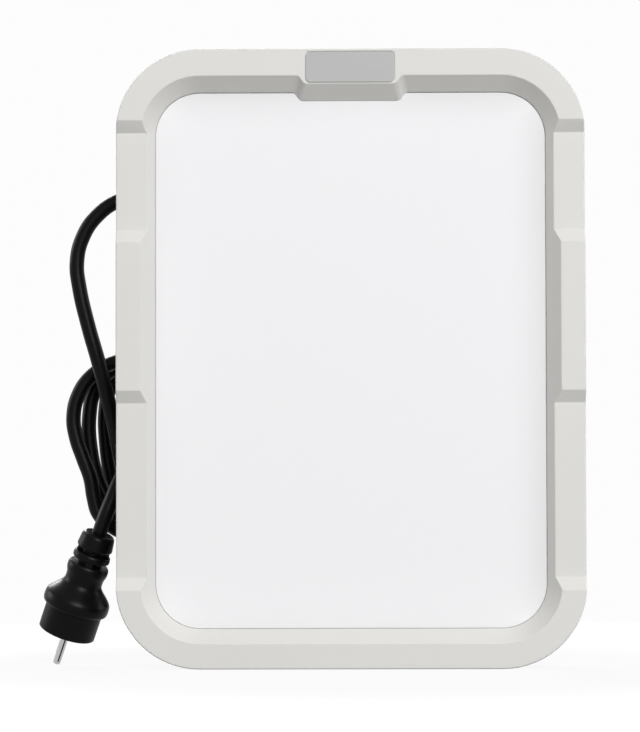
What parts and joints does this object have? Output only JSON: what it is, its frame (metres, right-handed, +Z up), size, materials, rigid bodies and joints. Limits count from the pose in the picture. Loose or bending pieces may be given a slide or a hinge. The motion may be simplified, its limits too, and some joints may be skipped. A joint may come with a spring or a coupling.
{
  "type": "led work light",
  "caption": "Upright LED work light: flat panel with pale bezel and opal diffuser, driver box with rocker switch, swing stand, and rubber lead with plug hung in a hank at the back.",
  "frame": {"origin": "middle of the bezel's bottom face at the parting line, on the floor that the lamp stands on", "axes": "+Z up, the light shines along -Y, +X to the right seen from the front"},
  "size_m": [0.3462, 0.179, 0.3884],
  "materials": {
    "bezel": "fine matt moulded plastic, warm light grey",
    "plate": "satin silver",
    "diffuser": "opal, satin",
    "seal": "matt",
    "tray": "white coated sheet",
    "board": "white solder mask",
    "led": "yellow phosphor",
    "screw": "zinc plated",
    "rear": "light grey powder coat on a casting",
    "driver": "satin",
    "terminal": "plain",
    "switch": "matt black",
    "rocker": "satin black",
    "gland": "dark grey nylon",
    "stand": "light grey coated flat bar",
    "foot": "matt black",
    "hook": "light grey",
    "cord": "satin black rubber",
    "plug": "matt black rubber",
    "pin": "nickel plated"
  },
  "bodies": {
    "lamp": {"front_frame": "bezel", "name_plate": "plate", "diffuser": "diffuser", "diffuser_seal": "seal", "reflector_tray": "tray", "led_boards": "board", "leds": "led", "board_screws": "screw", "rear_housing": "rear", "housing_seal": "seal", "housing_screws": "screw", "driver_cover": "rear", "cover_screws": "screw", "driver_module": "driver", "driver_screws": "screw", "terminal_block": "terminal", "switch_body": "switch", "cable_entry": "rear", "entry_screws": "screw", "gland_body": "gland", "gland_nut": "gland", "gland_seal": "seal", "gland_locknut": "gland", "supply_lead": "cord", "pivot_bolts": "screw", "pivot_washers": "gland", "cord_hook": "hook", "hook_screws": "screw", "cord_exit": "cord", "cord_hank": "cord", "cord_lead": "cord", "plug_body": "plug", "plug_pins": "pin", "plug_earth": "pin"},
    "stand": {"stand_arms": "stand", "stand_bracket": "stand", "stand_feet": "foot"},
    "rocker": {"switch_rocker": "rocker"}
  },
  "joints": [
    {"name": "stand_swing", "type": "hinge", "parent": "lamp", "child": "stand", "pos_m": [0, 0.046, 0.214], "axis": [1, 0, 0], "range_deg": [-25, 155]},
    {"name": "rocker_tilt", "type": "hinge", "parent": "lamp", "child": "rocker", "pos_m": [0.036, 0.056, 0.292], "axis": [1, 0, 0], "range_deg": [-20, 0]}
  ]
}
